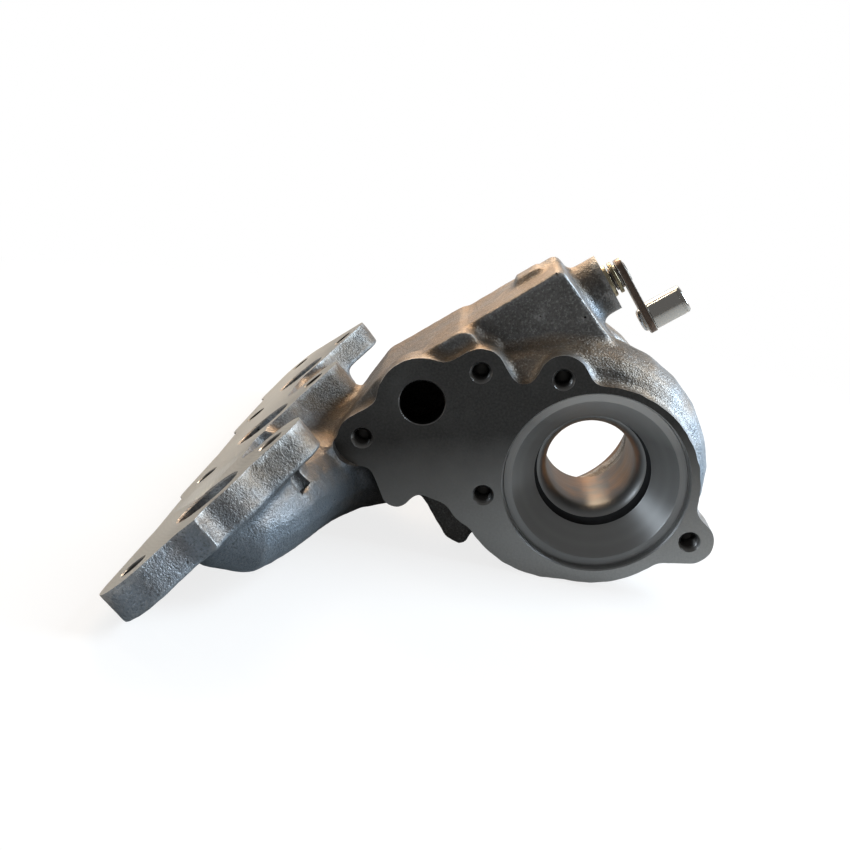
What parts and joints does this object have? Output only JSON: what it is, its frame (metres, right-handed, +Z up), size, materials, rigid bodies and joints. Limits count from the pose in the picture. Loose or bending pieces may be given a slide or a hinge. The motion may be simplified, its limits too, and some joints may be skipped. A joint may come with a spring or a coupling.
{
  "type": "turbine housing with exhaust manifold",
  "caption": "Cast turbine housing with integral exhaust manifold and wastegate: scroll, runners merging into a collector, machined bearing face, outlet bowl and a lever on the spindle.",
  "frame": {"origin": "centre of the bearing bore at the machined face", "axes": "+Y along the turbine axis from the bearing side to the outlet; +Z up when the part stands on its manifold flange and scroll; +X away from the manifold flange"},
  "size_m": [0.208, 0.2727, 0.1239],
  "materials": {
    "cast_iron": "sand cast skin with turned and milled faces",
    "bushing": "satin sintered steel",
    "spindle": "satin, slightly heat tinted",
    "flap": "satin heat resistant casting",
    "washer": "satin",
    "ring": "satin",
    "lever": "dark, stamped",
    "pin": "ground and polished"
  },
  "bodies": {
    "housing": {"turbine_housing": "cast_iron", "wastegate_bushing": "bushing"},
    "crank": {"wastegate_spindle": "spindle", "wastegate_flap": "flap", "flap_washer": "washer", "spindle_ring": "ring", "wastegate_lever": "lever", "lever_pin": "pin"}
  },
  "joints": [
    {"name": "wastegate_crank", "type": "hinge", "parent": "housing", "child": "crank", "pos_m": [-0.01508, 0.051, 0.06308], "axis": [0.7547, 0, 0.6561], "range_deg": [0, 40]}
  ]
}
